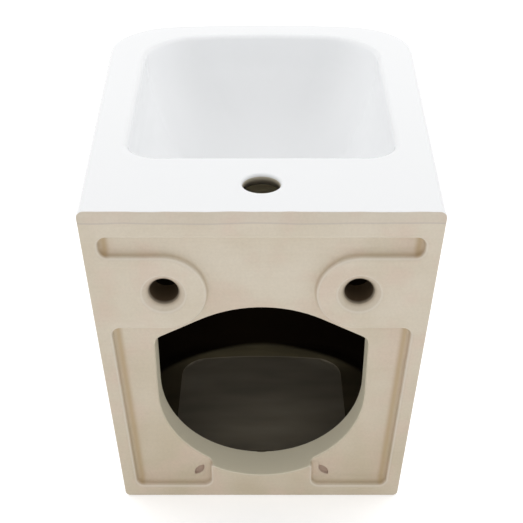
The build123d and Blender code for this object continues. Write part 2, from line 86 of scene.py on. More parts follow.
# Holes of the casting, from the record's mounts where these state them
MOUNTS = {mount["name"]: mount for mount in frame["record"]["mounts"]}
TAP = Vector(MOUNTS["tap_hole"]["pos_m"])
TAP_RADIUS = MOUNTS["tap_hole"]["dims"]["r_mm"] * MM
FIXING_OFFSET = MOUNTS["wall_fixings"]["dims"]["spacing_x_mm"] / 2 * MM
FIXING_RADIUS = MOUNTS["wall_fixings"]["dims"]["hole_r_mm"] * MM
OVERFLOW_HEIGHT = CERAMIC_HIGH.z - 46.0 * MM
OVERFLOW_RADIUS = 10.3 * MM
DECK_DEPTH = 130.0 * MM

# Where the glaze stops: on faces that look to the wall, down the holes and round the hollow
WALLWARD = -0.9
BACK_SKIN = 0.3 * MM
HOLE_MARGIN = 1.0 * MM
GLAZE_IN_HOLES = 4.0 * MM
FLANGE_SEAT = 4.0 * MM
LIP_DEPTH = 35.5 * MM
SLIP_TOP = -20.0 * MM
GLAZE_FADE = 0.25 * MM
TOP_EDGE_FROM = CERAMIC_HIGH.z - 9.0 * MM
TOP_EDGE_FULL = CERAMIC_HIGH.z - 3.0 * MM

# Where the painted shade on the walls of the holes starts and is full
WALL_SKIN = 0.5 * MM
FIXING_SHADE_FROM = 2.0 * MM
FIXING_SHADE_FULL = 11.0 * MM
TAP_SHADE_FULL = CERAMIC_HIGH.z - 10.0 * MM

# The sunk relief of the back, its outer walls and the two marks beside its sill, with painted shade in its
# coves, at the foot of its outer walls and in the marks, and wear and a painted highlight along its edges
RELIEF_DEPTH = 10.0 * MM
BACK_HALF_WIDTH = 162.0 * MM
BACK_LEAN = 0.05
RELIEF_MARGIN = 14.5 * MM
RELIEF_SIDE = BACK_HALF_WIDTH - RELIEF_MARGIN - BACK_LEAN * CERAMIC_HIGH.z
RELIEF_SHADE_INNER = RELIEF_SIDE - 10.0 * MM
RELIEF_SHADE_OUTER = RELIEF_SIDE + 2.0 * MM
RELIEF_SHADE_FROM = 0.5 * MM
RELIEF_SHADE_FULL = 4.0 * MM
COVE_SHADE_FROM = 3.0 * MM
EDGE_WEAR_HIGHLIGHT_FROM = 0.1 * MM
EDGE_WEAR_HIGHLIGHT_TO = 2.4 * MM
MARK_OFFSET = 65.5 * MM
MARK_HEIGHT = CERAMIC_LOW.z + 29.0 * MM
MARK_RADIUS = 10.0 * MM
MARK_DEPTH = 3.0 * MM
MARK_FROM = RELIEF_DEPTH + 0.1 * MM
MARK_FULL = RELIEF_DEPTH + 0.6 * MM

# The lip of the service opening, whose clay is painted paler as painted light
LIP_RADIUS = 102.7 * MM
OPENING_SPRINGING = CERAMIC_LOW.z + 133.0 * MM
OPENING_SHOULDER = CERAMIC_HIGH.z - 150.0 * MM
SHOULDER_FADE = 2.0 * MM

# The wiped strip under the top edge, and the height below which painted shade darkens and warms the clay
# towards the foot
WIPE_DRIFT = 4.0 * MM
WIPE_HALF_WIDTH = 1.3 * MM
HAZE_FADE = 0.8 * MM
FOOT_SHADE_FROM = 30.0 * MM

# The floor of the hollow and the panel sunk in it, with the painted light on them and a painted highlight
# along the panel's edge
PANEL_FLOOR = CERAMIC_LOW.z + 8.0 * MM
PANEL_DEPTH = 3.0 * MM
PANEL_FRONT = 223.0 * MM
PANEL_LIGHT_TOP = PANEL_FLOOR + 0.4 * PANEL_DEPTH
PANEL_LIGHT_FULL = PANEL_FLOOR + 0.1 * PANEL_DEPTH
PANEL_HIGHLIGHT_FROM = PANEL_FLOOR + 0.2 * PANEL_DEPTH
PANEL_HIGHLIGHT_TO = PANEL_FLOOR + PANEL_DEPTH
FRONT_LIGHT_FROM = PANEL_FRONT - 40.0 * MM
FLOOR_LIGHT_TOP = PANEL_FLOOR + 42.0 * MM
FLOOR_LIGHT_FULL = PANEL_FLOOR + 12.0 * MM
LIT_FLOOR_ROUND = 165.0 * MM
LIT_FLOOR_MIDDLE = PANEL_FRONT + 16.0 * MM - LIT_FLOOR_ROUND
LIT_FLOOR_FADE = 9.0 * MM

# Widths of the patterns' features, in millimetres
GLAZE_RIPPLE_MM = 14
GLAZE_WANDER_MM = 40
CLAY_PATCH_MM = 60
CLAY_CLOUD_MM = 38
CLAY_SPECK_MM = 2.6
CLAY_GRAIN_MM = 0.9
SPONGE_LENGTH_MM = 45
SPONGE_WIDTH_MM = 3.5
WIPE_DRIFT_MM = 55
SLIP_RUN_LENGTH_MM = 130
SLIP_RUN_WIDTH_MM = 34
SLIP_GRAIN_MM = 1.5

# Noise values between which a pattern goes from none to full
NOISE_FROM, NOISE_FULL = 0.3, 0.7
PATCH_FROM, PATCH_FULL = 0.35, 0.7
CLOUD_FROM, CLOUD_FULL = 0.45, 0.68
STREAK_FROM, STREAK_FULL = 0.4, 0.75

# How strongly each colour shows at most
PATCH_SHARE = 0.35
FOOT_SHADE_SHARE = 0.65
CLOUD_SHARE = 0.36
STREAK_SHARE = 0.07
EDGE_WEAR_HIGHLIGHT_SHARE = 0.6
COVE_SHADE_SHARE = 0.2
RELIEF_SHADE_SHARE = 0.75
TAP_SHADE_SHARE = 0.7
HAZE_SHARE = 0.12
WIPE_SHARE = 0.4

# Darkest and palest tone of a pattern, as shares of its colour
SPECK_DARK, SPECK_PALE = 0.975, 1.025
RUN_DARK, RUN_PALE = 0.8, 1.15
MOULDED_DARK, MOULDED_PALE = 0.9, 1.1

# Brightest and dullest part of a metal's smears, as shares of its roughness
SMEAR_BRIGHT, SMEAR_DULL = 0.6, 1.5

# Roughness and bump of the ceramic, the slip, the mouldings and the paper
GLAZE_ROUGHNESS = 0.12
CLAY_ROUGHNESS = 0.82
CERAMIC_BUMP, CERAMIC_BUMP_HEIGHT = 0.12, 0.15 * MM
SLIP_ROUGHNESS = 0.9
SLIP_SPECULAR = 0.12
SLIP_BUMP, SLIP_BUMP_HEIGHT = 0.15, 0.2 * MM
MOULDED_BUMP, MOULDED_BUMP_HEIGHT = 0.15, 0.05 * MM
PAPER_ROUGHNESS = 0.9

# The stage, in metres, and the photo's lens, in millimetres
FLOOR_HALF_WIDTH = 8.0
LAMP_LENGTH, LAMP_WIDTH = 1.6, 1.2
LAMP_AIM = Vector((0, 0.2, 0))
OVERHEAD_LAMP = (0, 0.5, 1.5)
LEFT_LAMP = (-1.3, 0.7, 1.0)
RIGHT_LAMP = (1.3, 0.7, 1.0)
FRONT_LAMP = (0, -1.7, 0.25)
SENSOR_WIDTH = 36.0
FOCAL_LENGTH = 65.4

# Kinds of ceramic surface, stored on each face, and the material slots they use
GLAZED, BACK, HOLLOW = 0.0, 1.0, 2.0
CERAMIC_SLOT, HOLLOW_SLOT = 0, 1


def linear(hex_colour):
    """Linear red, green, blue and full alpha of an sRGB hex colour."""
    shares = [int(hex_colour[i:i + 2], 16) / 255 for i in (1, 3, 5)]
    return (*(s / 12.92 if s <= 0.04045 else ((s + 0.055) / 1.055) ** 2.4 for s in shares), 1.0)


def add_node(tree, kind, inputs=None, **settings):
    """Adds a node. An input gets a fixed value, or a link from a socket or a node's first output in use."""
    node = tree.nodes.new(kind)
    for name, value in settings.items():
        setattr(node, name, value)
    for socket, value in (inputs or {}).items():
        if isinstance(value, bpy.types.Node):
            value = next(output for output in value.outputs if output.enabled)
        if isinstance(value, bpy.types.NodeSocket):
            tree.links.new(value, node.inputs[socket])
        else:
            node.inputs[socket].default_value = value
    return node


def new_material(name):
    """An empty node material with its shader, output and object coordinates."""
    material = bpy.data.materials.new(name)
    material.use_nodes = True
    tree = material.node_tree
    tree.nodes.clear()
    shader = add_node(tree, "ShaderNodeBsdfPrincipled")
    add_node(tree, "ShaderNodeOutputMaterial", {"Surface": shader})
    place = add_node(tree, "ShaderNodeTexCoord").outputs["Object"]
    return material, tree, shader, place


def per_metre(size_mm):
    """Scale of a noise whose features are about this many millimetres wide."""
    return 1 / (size_mm * MM)


def smooth_copy(node):
    """A merged, smooth-shaded copy of a CAD node that stands for it."""
    source = frame["nodes"][node]
    mesh = source.data.copy()
    mesh.name = f"{node}_finished"
    shape = bmesh.new()
    shape.from_mesh(mesh)
    bmesh.ops.remove_doubles(shape, verts=shape.verts, dist=MERGE_DISTANCE)
    shape.to_mesh(mesh)
    shape.free()
    mesh.materials.clear()
    mesh.shade_smooth()
    mesh.set_sharp_from_angle(angle=SMOOTH_ANGLE)
    piece = bpy.data.objects.new(f"{node}_finished", mesh)
    bpy.context.scene.collection.objects.link(piece)
    evened = piece.modifiers.new("even_normals", "WEIGHTED_NORMAL")
    evened.keep_sharp = True
    bodies = frame["record"]["behaviour"]["bodies"]
    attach(piece, next(body for body, nodes in bodies.items() if node in nodes))
    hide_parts(node)
    return piece


class CeramicSettings(PropertyGroup):
    """Colours and glaze line of the ceramic."""

    glaze: FloatVectorProperty(
        name="Glaze", description="White vitreous glaze", default=linear("#F4F5F6"), **COLOUR)
    bisque: FloatVectorProperty(
        name="Bisque", description="Bare fired clay of the back", default=linear("#D4CAB9"), **COLOUR)
    # Warm bisque colours random warmer patches, and also paints shade that darkens the clay towards the foot
    bisque_warm_and_foot_shade: FloatVectorProperty(
        name="Warm bisque", description="Warmer patches of the bare clay",
        default=linear("#C2B59E"), **COLOUR)
    blush: FloatVectorProperty(
        name="Blush", description="Pinker clouds of the bare clay", default=linear("#D3BBAC"), **COLOUR)
    # This colour is the slip of the sponge streaks, and also painted shade in the relief's coves and at the
    # foot of its outer walls
    stain_and_shade: FloatVectorProperty(
        name="Stain", description="Slip dried in the coves and sponge streaks",
        default=linear("#B59F7C"), **COLOUR)
    # This colour is partly edge wear and partly a painted highlight along the relief's convex edges
    worn_edge_and_highlight: FloatVectorProperty(
        name="Worn edge", description="Clay rubbed paler along its edges",
        default=linear("#E2DACD"), **COLOUR)
    # This colour is painted light: paler clay on the service opening's lip, which lies in shade
    lip: FloatVectorProperty(
        name="Lip", description="Smoothed clay of the service opening's lip",
        default=linear("#E8E0C8"), **COLOUR)
    # This colour is painted shade, dark down the fixing holes and the tap hole
    painted_hole_shade: FloatVectorProperty(
        name="Slip in the holes", description="Raw slip deep in the fixing holes and the tap hole",
        default=linear("#4A3A26"), **COLOUR)
    glaze_haze: FloatVectorProperty(
        name="Glaze haze", description="Thin wiped glaze under the top edge",
        default=linear("#ADA3A0"), **COLOUR)
    # This colour is painted shade, darker and pinker in the two sunk marks beside the sill
    mark: FloatVectorProperty(
        name="Marks", description="Slip left in the two marks beside the sill",
        default=linear("#AC9686"), **COLOUR)
    # This colour is painted shade: near-black high in the hollow, where little light reaches
    hollow: FloatVectorProperty(
        name="Hollow", description="Dried slip high in the hollow", default=linear("#1C140B"), **COLOUR)
    # This colour is painted light on the low middle of the hollow's floor
    lit_hollow_floor: FloatVectorProperty(
        name="Hollow floor", description="Dried slip on the floor of the hollow",
        default=linear("#5A513F"), **COLOUR)
    # This colour is painted light on the front of the hollow's floor
    lit_floor_front: FloatVectorProperty(
        name="Drained slip", description="Slip that drained to the front of the floor",
        default=linear("#8A8064"), **COLOUR)
    # This colour is paler painted light on the sunk panel of the floor
    lit_panel: FloatVectorProperty(
        name="Pooled slip", description="Slip dried on the sunk panel of the floor",
        default=linear("#8F8778"), **COLOUR)
    # This colour is a painted highlight along the sunk panel's edge
    panel_edge_highlight: FloatVectorProperty(
        name="Panel edge", description="Thin slip along the sunk panel's edge",
        default=linear("#B8AE9C"), **COLOUR)
    glaze_line_top: FloatProperty(
        name="Glaze line at the top", description="How near to the wall the glaze ends on the top edge",
        default=0.9 * MM, min=0, **LENGTH)
    glaze_line_sides: FloatProperty(
        name="Glaze line at the sides", description="How near to the wall the glaze ends on the other edges",
        default=2.6 * MM, min=0, **LENGTH)
    glaze_wave: FloatProperty(
        name="Glaze wave", description="How far the glaze line wanders",
        default=0.5 * MM, min=0, **LENGTH)
    wipe_line: FloatProperty(
        name="Wipe line", description="How far under the top edge the back was wiped clean",
        default=12.0 * MM, min=0, **LENGTH)


class WasteSettings(PropertyGroup):
    """Colours of the waste's metals, rubber and plastics."""

    chrome: FloatVectorProperty(
        name="Chrome", description="Chrome plate", default=linear("#CDD0D2"), **COLOUR)
    brass: FloatVectorProperty(
        name="Brass", description="Turned brass", default=linear("#C8A763"), **COLOUR)
    rubber: FloatVectorProperty(
        name="Rubber", description="Moulded rubber", default=linear("#1F1F20"), **COLOUR)
    white_plastic: FloatVectorProperty(
        name="White plastic", description="Moulded acetal", default=linear("#E6E6E2"), **COLOUR)
    grey_plastic: FloatVectorProperty(
        name="Grey plastic", description="Glass-filled nylon", default=linear("#6B6D70"), **COLOUR)
    steel: FloatVectorProperty(
        name="Steel", description="Stainless spring wire", default=linear("#B5B5B3"), **COLOUR)


class StudioSettings(PropertyGroup):
    """Light, floor and camera of the picture."""

    floor: FloatVectorProperty(
        name="Floor", description="Pale floor", default=linear("#F7F7F7"), **COLOUR)
    sky: FloatProperty(
        name="Sky", description="Strength of the even white light", default=0.62, min=0)
    key: FloatProperty(
        name="Key light", description="Power of the large lamp overhead", default=1.0, **POWER)
    sides: FloatProperty(
        name="Side lights", description="Power of each large lamp to the left and right",
        default=10.0, **POWER)
    front: FloatProperty(
        name="Front light", description="Power of the low lamp that faces the back",
        default=8.0, **POWER)
    floor_glow: FloatProperty(
        name="Floor glow", description="Share of the floor's white that the camera sees without light",
        subtype="FACTOR", default=0.34, min=0, max=1)
    camera_back: FloatProperty(
        name="Camera distance", description="Distance of the camera from the wall plane",
        default=710.6 * MM, min=0, **LENGTH)
    camera_up: FloatProperty(
        name="Camera height", description="Height of the camera over the fixing holes",
        default=503.0 * MM, **LENGTH)
    camera_pitch: FloatProperty(
        name="Camera pitch", description="Angle of the camera below the horizon",
        subtype="ANGLE", unit="ROTATION", default=math.radians(33.27))


def band(tree, value, low, high):
    """One in the middle of a range of values, falling softly to zero at its ends."""
    middle = (low + high) / 2
    rise = add_node(tree, "ShaderNodeMapRange", {"Value": value, "From Min": low, "From Max": middle},
                    interpolation_type="SMOOTHSTEP")
    fall = add_node(tree, "ShaderNodeMapRange", {"Value": value, "From Min": middle, "From Max": high},
                    interpolation_type="SMOOTHSTEP")
    return add_node(tree, "ShaderNodeMath", {0: rise, 1: fall}, operation="SUBTRACT")


def within(tree, across, along, radius, fade=1.0 * MM):
    """One inside a radius, from the distances of a spot to the middle in two directions."""
    spot = add_node(tree, "ShaderNodeCombineXYZ", {"X": across, "Y": along})
    away = add_node(tree, "ShaderNodeVectorMath", {0: spot}, operation="LENGTH")
    return add_node(tree, "ShaderNodeMapRange", {
        "Value": away, "From Min": radius + fade, "From Max": radius},
        interpolation_type="SMOOTHSTEP")


def glaze_end(tree, place, axes, settings):
    """One where the clay is left bare: nearer to the wall than a line that wanders a little."""
    wander = add_node(tree, "ShaderNodeTexNoise", {
        "Vector": place, "Scale": per_metre(GLAZE_WANDER_MM), "Detail": 2.0})
    stray = add_node(tree, "ShaderNodeMapRange", {
        "Value": wander, "From Min": NOISE_FROM, "From Max": NOISE_FULL,
        "To Min": -settings.glaze_wave, "To Max": settings.glaze_wave})
    line = add_node(tree, "ShaderNodeMapRange", {
        "Value": axes["Z"], "From Min": TOP_EDGE_FROM, "From Max": TOP_EDGE_FULL,
        "To Min": settings.glaze_line_sides, "To Max": settings.glaze_line_top})
    line = add_node(tree, "ShaderNodeMath", {0: line, 1: stray}, operation="ADD")
    short = add_node(tree, "ShaderNodeMath", {0: line, 1: axes["Y"]}, operation="SUBTRACT")
    return add_node(tree, "ShaderNodeMapRange", {
        "Value": short, "From Min": -GLAZE_FADE, "From Max": GLAZE_FADE},
        interpolation_type="SMOOTHSTEP")


def fixing_hole_shade(tree, axes, side):
    """Painted shade: rises from zero to one down the two wall fixing holes."""
    across = add_node(tree, "ShaderNodeMath", {0: side, 1: FIXING_OFFSET}, operation="SUBTRACT")
    inside = within(tree, across, axes["Z"], FIXING_RADIUS + WALL_SKIN)
    deep = add_node(tree, "ShaderNodeMapRange", {
        "Value": axes["Y"], "From Min": FIXING_SHADE_FROM, "From Max": FIXING_SHADE_FULL},
        interpolation_type="SMOOTHSTEP")
    return add_node(tree, "ShaderNodeMath", {0: inside, 1: deep}, operation="MULTIPLY")


def tap_hole_shade(tree, axes):
    """Painted shade: rises from zero down the wall of the tap hole."""
    along = add_node(tree, "ShaderNodeMath", {0: axes["Y"], 1: TAP.y}, operation="SUBTRACT")
    inside = within(tree, axes["X"], along, TAP_RADIUS + WALL_SKIN)
    deep = add_node(tree, "ShaderNodeMapRange", {
        "Value": axes["Z"], "From Min": CERAMIC_HIGH.z, "From Max": TAP_SHADE_FULL,
        "To Max": TAP_SHADE_SHARE}, interpolation_type="SMOOTHSTEP")
    return add_node(tree, "ShaderNodeMath", {0: inside, 1: deep}, operation="MULTIPLY")


def opening_lip_light(tree, axes, side):
    """One where painted light makes the clay paler: on the lip of the service opening, inside its outline, or
    deeper than the relief and its marks.
    """
    below = add_node(tree, "ShaderNodeMath", {0: axes["Z"], 1: OPENING_SPRINGING}, operation="SUBTRACT")
    below = add_node(tree, "ShaderNodeMath", {0: below, 1: 0.0}, operation="MINIMUM")
    under_roof = add_node(tree, "ShaderNodeMapRange", {
        "Value": axes["Z"], "From Min": OPENING_SHOULDER + SHOULDER_FADE,
        "From Max": OPENING_SHOULDER - SHOULDER_FADE}, interpolation_type="SMOOTHSTEP")
    inside = within(tree, side, below, LIP_RADIUS)
    inside = add_node(tree, "ShaderNodeMath", {0: inside, 1: under_roof}, operation="MULTIPLY")
    deep = add_node(tree, "ShaderNodeMapRange", {
        "Value": axes["Y"], "From Min": RELIEF_DEPTH + MARK_DEPTH, "From Max": RELIEF_DEPTH + 2 * MARK_DEPTH},
        interpolation_type="SMOOTHSTEP")
    return add_node(tree, "ShaderNodeMath", {0: inside, 1: deep}, operation="MAXIMUM")


def sill_marks(tree, axes, side):
    """One in the two leaf-shaped marks beside the sill, where a darker, pinker colour paints shade."""
    across = add_node(tree, "ShaderNodeMath", {0: side, 1: MARK_OFFSET}, operation="SUBTRACT")
    along = add_node(tree, "ShaderNodeMath", {0: axes["Z"], 1: MARK_HEIGHT}, operation="SUBTRACT")
    inside = within(tree, across, along, MARK_RADIUS)
    sunk = add_node(tree, "ShaderNodeMapRange", {
        "Value": axes["Y"], "From Min": MARK_FROM, "From Max": MARK_FULL}, interpolation_type="SMOOTHSTEP")
    return add_node(tree, "ShaderNodeMath", {0: inside, 1: sunk}, operation="MULTIPLY")


def relief_wall_shade(tree, axes, side):
    """Painted shade: highest at the foot of the relief's two outer walls, which lean in towards the base."""
    upright = add_node(tree, "ShaderNodeMath", {0: axes["Z"], 1: -BACK_LEAN, 2: side},
                       operation="MULTIPLY_ADD")
    foot = band(tree, upright, RELIEF_SHADE_INNER, RELIEF_SHADE_OUTER)
    sunk = add_node(tree, "ShaderNodeMapRange", {
        "Value": axes["Y"], "From Min": RELIEF_SHADE_FROM, "From Max": RELIEF_SHADE_FULL,
        "To Max": RELIEF_SHADE_SHARE}, interpolation_type="SMOOTHSTEP")
    return add_node(tree, "ShaderNodeMath", {0: foot, 1: sunk}, operation="MULTIPLY")


def sponged_clay(tree, place, axes, settings):
    """Bare clay, warmer in patches, darker and warmer towards the foot as painted shade, with pinker clouds
    and level sponge streaks.
    """
    mottle = add_node(tree, "ShaderNodeTexNoise", {
        "Vector": place, "Scale": per_metre(CLAY_PATCH_MM), "Detail": 4.0})
    patches = add_node(tree, "ShaderNodeMapRange", {
        "Value": mottle, "From Min": PATCH_FROM, "From Max": PATCH_FULL, "To Max": PATCH_SHARE},
        interpolation_type="SMOOTHSTEP")
    # Painted shade: the clay turns darker and warmer towards the foot
    foot_shade = add_node(tree, "ShaderNodeMapRange", {
        "Value": axes["Z"], "From Min": FOOT_SHADE_FROM, "From Max": CERAMIC_LOW.z, "To Max": FOOT_SHADE_SHARE},
        interpolation_type="SMOOTHSTEP")
    warmth_and_foot_shade = add_node(tree, "ShaderNodeMath", {0: patches, 1: foot_shade}, operation="ADD", use_clamp=True)
    clouds = add_node(tree, "ShaderNodeTexNoise", {
        "Vector": place, "Scale": per_metre(CLAY_CLOUD_MM), "Detail": 5.0})
    pinker = add_node(tree, "ShaderNodeMapRange", {
        "Value": clouds, "From Min": CLOUD_FROM, "From Max": CLOUD_FULL, "To Max": CLOUD_SHARE},
        interpolation_type="SMOOTHSTEP")
    drawn = add_node(tree, "ShaderNodeMapping", {
        "Vector": place,
        "Scale": (per_metre(SPONGE_LENGTH_MM), per_metre(SPONGE_LENGTH_MM), per_metre(SPONGE_WIDTH_MM))})
    wiping = add_node(tree, "ShaderNodeTexNoise", {"Vector": drawn, "Scale": 1.0, "Detail": 3.0})
    streaks = add_node(tree, "ShaderNodeMapRange", {
        "Value": wiping, "From Min": STREAK_FROM, "From Max": STREAK_FULL, "To Max": STREAK_SHARE})
    clay = settings.bisque
    for factor, colour in ((warmth_and_foot_shade, settings.bisque_warm_and_foot_shade),
                           (pinker, settings.blush),
                           (streaks, settings.stain_and_shade)):
        clay = add_node(tree, "ShaderNodeMix", {"Factor": factor, "A": clay, "B": colour}, data_type="RGBA")

    # Specks of grit, drawn several times coarser than they are, so that they show
    specks = add_node(tree, "ShaderNodeTexNoise", {
        "Vector": place, "Scale": per_metre(CLAY_SPECK_MM), "Detail": 2.0})
    tone = add_node(tree, "ShaderNodeMapRange", {
        "Value": specks, "From Min": NOISE_FROM, "From Max": NOISE_FULL,
        "To Min": SPECK_DARK, "To Max": SPECK_PALE})
    return add_node(tree, "ShaderNodeHueSaturation", {"Color": clay, "Value": tone})


def wiped_haze(tree, place, axes, settings):
    """Thin glaze left under the top edge, with a stronger line where the sponge stopped."""
    drift = add_node(tree, "ShaderNodeTexNoise", {
        "Vector": place, "Scale": per_metre(WIPE_DRIFT_MM), "Detail": 1.0})
    height = add_node(tree, "ShaderNodeMath", {0: drift, 1: WIPE_DRIFT, 2: axes["Z"]},
                      operation="MULTIPLY_ADD")
    wiped = CERAMIC_HIGH.z - settings.wipe_line + WIPE_DRIFT / 2
    haze = add_node(tree, "ShaderNodeMapRange", {
        "Value": height, "From Min": wiped - HAZE_FADE, "From Max": wiped + HAZE_FADE, "To Max": HAZE_SHARE},
        interpolation_type="SMOOTHSTEP")
    line = band(tree, height, wiped - WIPE_HALF_WIDTH, wiped + WIPE_HALF_WIDTH)
    return add_node(tree, "ShaderNodeMath", {0: line, 1: WIPE_SHARE, 2: haze},
                    operation="MULTIPLY_ADD", use_clamp=True)


def clay_colour(tree, place, axes, settings):
    """Bare clay: wear and a painted highlight on edges, painted shade in coves, marks and holes, painted
    light on the lip, hazed under the top edge.
    """
    side = add_node(tree, "ShaderNodeMath", {0: axes["X"]}, operation="ABSOLUTE")
    # Paler along the relief's convex edges: partly wear, partly a painted highlight
    worn_and_highlight = band(tree, axes["Y"], EDGE_WEAR_HIGHLIGHT_FROM, EDGE_WEAR_HIGHLIGHT_TO)
    worn_and_highlight = add_node(tree, "ShaderNodeMath", {0: worn_and_highlight, 1: EDGE_WEAR_HIGHLIGHT_SHARE}, operation="MULTIPLY")
    # Painted shade in the coves at the foot of the relief's walls
    cove_shade = band(tree, axes["Y"], COVE_SHADE_FROM, RELIEF_DEPTH)
    cove_shade = add_node(tree, "ShaderNodeMath", {0: cove_shade, 1: COVE_SHADE_SHARE}, operation="MULTIPLY")
    clay = sponged_clay(tree, place, axes, settings)
    for factor, colour in ((worn_and_highlight, settings.worn_edge_and_highlight),
                           (cove_shade, settings.stain_and_shade),
                           (relief_wall_shade(tree, axes, side), settings.stain_and_shade),
                           (opening_lip_light(tree, axes, side), settings.lip),
                           (sill_marks(tree, axes, side), settings.mark),
                           (fixing_hole_shade(tree, axes, side), settings.painted_hole_shade),
                           (tap_hole_shade(tree, axes), settings.painted_hole_shade),
                           (wiped_haze(tree, place, axes, settings), settings.glaze_haze)):
        clay = add_node(tree, "ShaderNodeMix", {"Factor": factor, "A": clay, "B": colour}, data_type="RGBA")
    return clay


def ceramic_material(settings):
    """Vitreous china, glazed where the surface kind says so and bare clay elsewhere."""
    # White glaze mirrors softly, with the faint ripple of a sprayed coat, and stops in a thin wandering line.
    # Beyond it the fired clay is matt and sandy. Its grain is drawn coarser than it is, so that it shows.
    material, tree, shader, place = new_material("vitreous_china")
    axes = add_node(tree, "ShaderNodeSeparateXYZ", {"Vector": place}).outputs
    kind = add_node(tree, "ShaderNodeAttribute", attribute_name="surface_kind").outputs["Fac"]
    bare = add_node(tree, "ShaderNodeMath", {0: kind, 1: glaze_end(tree, place, axes, settings)},
                    operation="MAXIMUM", use_clamp=True)
    colour = add_node(tree, "ShaderNodeMix", {
        "Factor": bare, "A": settings.glaze, "B": clay_colour(tree, place, axes, settings)}, data_type="RGBA")
    tree.links.new(colour.outputs["Result"], shader.inputs["Base Color"])
    rough = add_node(tree, "ShaderNodeMapRange", {
        "Value": bare, "To Min": GLAZE_ROUGHNESS, "To Max": CLAY_ROUGHNESS})
    tree.links.new(rough.outputs["Result"], shader.inputs["Roughness"])
    ripple = add_node(tree, "ShaderNodeTexNoise", {
        "Vector": place, "Scale": per_metre(GLAZE_RIPPLE_MM), "Detail": 1.0})
    grain = add_node(tree, "ShaderNodeTexNoise", {
        "Vector": place, "Scale": per_metre(CLAY_GRAIN_MM), "Detail": 3.0})
    height = add_node(tree, "ShaderNodeMix", {
        "Factor": bare, "A": ripple.outputs["Fac"], "B": grain.outputs["Fac"]})
    bump = add_node(tree, "ShaderNodeBump", {
        "Height": height, "Strength": CERAMIC_BUMP, "Distance": CERAMIC_BUMP_HEIGHT})
    tree.links.new(bump.outputs["Normal"], shader.inputs["Normal"])
    return material


def slip_material(settings):
    """Slip dried on the walls and the floor of the hollow, with painted light and shade in its colour."""
    # Dried slip is porous and has almost no shine. Its colour carries painted light and shade: near-black
    # painted shade high up, painted light on the front and the low middle of the floor, paler painted light
    # on the sunk panel and a painted highlight along its edge. Level runs vary its tone. Its grain is drawn
    # coarser than it is, so that it shows.
    material, tree, shader, place = new_material("dried_slip_painted_light")
    axes = add_node(tree, "ShaderNodeSeparateXYZ", {"Vector": place}).outputs
    # Painted light, stronger towards the front of the floor
    drained = add_node(tree, "ShaderNodeMapRange", {
        "Value": axes["Y"], "From Min": FRONT_LIGHT_FROM, "From Max": PANEL_FRONT},
        interpolation_type="SMOOTHSTEP")
    # Painted light on the low, round middle of the floor, where light falls in through the opening
    low = add_node(tree, "ShaderNodeMapRange", {
        "Value": axes["Z"], "From Min": FLOOR_LIGHT_TOP, "From Max": FLOOR_LIGHT_FULL}, interpolation_type="SMOOTHSTEP")
    along = add_node(tree, "ShaderNodeMath", {0: axes["Y"], 1: LIT_FLOOR_MIDDLE}, operation="SUBTRACT")
    lit_round = within(tree, axes["X"], along, LIT_FLOOR_ROUND, LIT_FLOOR_FADE)
    floor = add_node(tree, "ShaderNodeMath", {0: lit_round, 1: low}, operation="MULTIPLY")
    # Paler painted light on the sunk panel
    lit_panel_share = add_node(tree, "ShaderNodeMapRange", {
        "Value": axes["Z"], "From Min": PANEL_LIGHT_TOP, "From Max": PANEL_LIGHT_FULL}, interpolation_type="SMOOTHSTEP")
    # Painted highlight along the sunk panel's edge
    edge = band(tree, axes["Z"], PANEL_HIGHLIGHT_FROM, PANEL_HIGHLIGHT_TO)
    slip = add_node(tree, "ShaderNodeMix", {
        "Factor": drained, "A": settings.lit_hollow_floor, "B": settings.lit_floor_front}, data_type="RGBA")
    # Painted shade: near-black away from the lit floor
    slip = add_node(tree, "ShaderNodeMix", {
        "Factor": floor, "A": settings.hollow, "B": slip}, data_type="RGBA")
    for factor, colour in ((lit_panel_share, settings.lit_panel), (edge, settings.panel_edge_highlight)):
        slip = add_node(tree, "ShaderNodeMix", {"Factor": factor, "A": slip, "B": colour}, data_type="RGBA")
    drawn = add_node(tree, "ShaderNodeMapping", {
        "Vector": place, "Scale": (per_metre(SLIP_RUN_LENGTH_MM), per_metre(SLIP_RUN_WIDTH_MM),
                                   per_metre(SLIP_RUN_WIDTH_MM))})
    runs = add_node(tree, "ShaderNodeTexNoise", {"Vector": drawn, "Scale": 1.0, "Detail": 2.0})
    tone = add_node(tree, "ShaderNodeMapRange", {
        "Value": runs, "From Min": NOISE_FROM, "From Max": NOISE_FULL,
        "To Min": RUN_DARK, "To Max": RUN_PALE})
    slip = add_node(tree, "ShaderNodeHueSaturation", {"Color": slip, "Value": tone})
    tree.links.new(slip.outputs["Color"], shader.inputs["Base Color"])
    shader.inputs["Roughness"].default_value = SLIP_ROUGHNESS
    shader.inputs["Specular IOR Level"].default_value = SLIP_SPECULAR
    grain = add_node(tree, "ShaderNodeTexNoise", {
        "Vector": place, "Scale": per_metre(SLIP_GRAIN_MM), "Detail": 3.0})
    bump = add_node(tree, "ShaderNodeBump", {
        "Height": grain, "Strength": SLIP_BUMP, "Distance": SLIP_BUMP_HEIGHT})
    tree.links.new(bump.outputs["Normal"], shader.inputs["Normal"])
    return material


def metal_material(name, colour, roughness, smear_mm):
    """A polished or turned metal with faint smears in its shine."""
    material, tree, shader, place = new_material(name)
    shader.inputs["Base Color"].default_value = colour
    shader.inputs["Metallic"].default_value = 1.0
    smear = add_node(tree, "ShaderNodeTexNoise", {
        "Vector": place, "Scale": per_metre(smear_mm), "Detail": 4.0})
    shine = add_node(tree, "ShaderNodeMapRange", {
        "Value": smear, "To Min": roughness * SMEAR_BRIGHT, "To Max": roughness * SMEAR_DULL})
    tree.links.new(shine.outputs["Result"], shader.inputs["Roughness"])
    return material


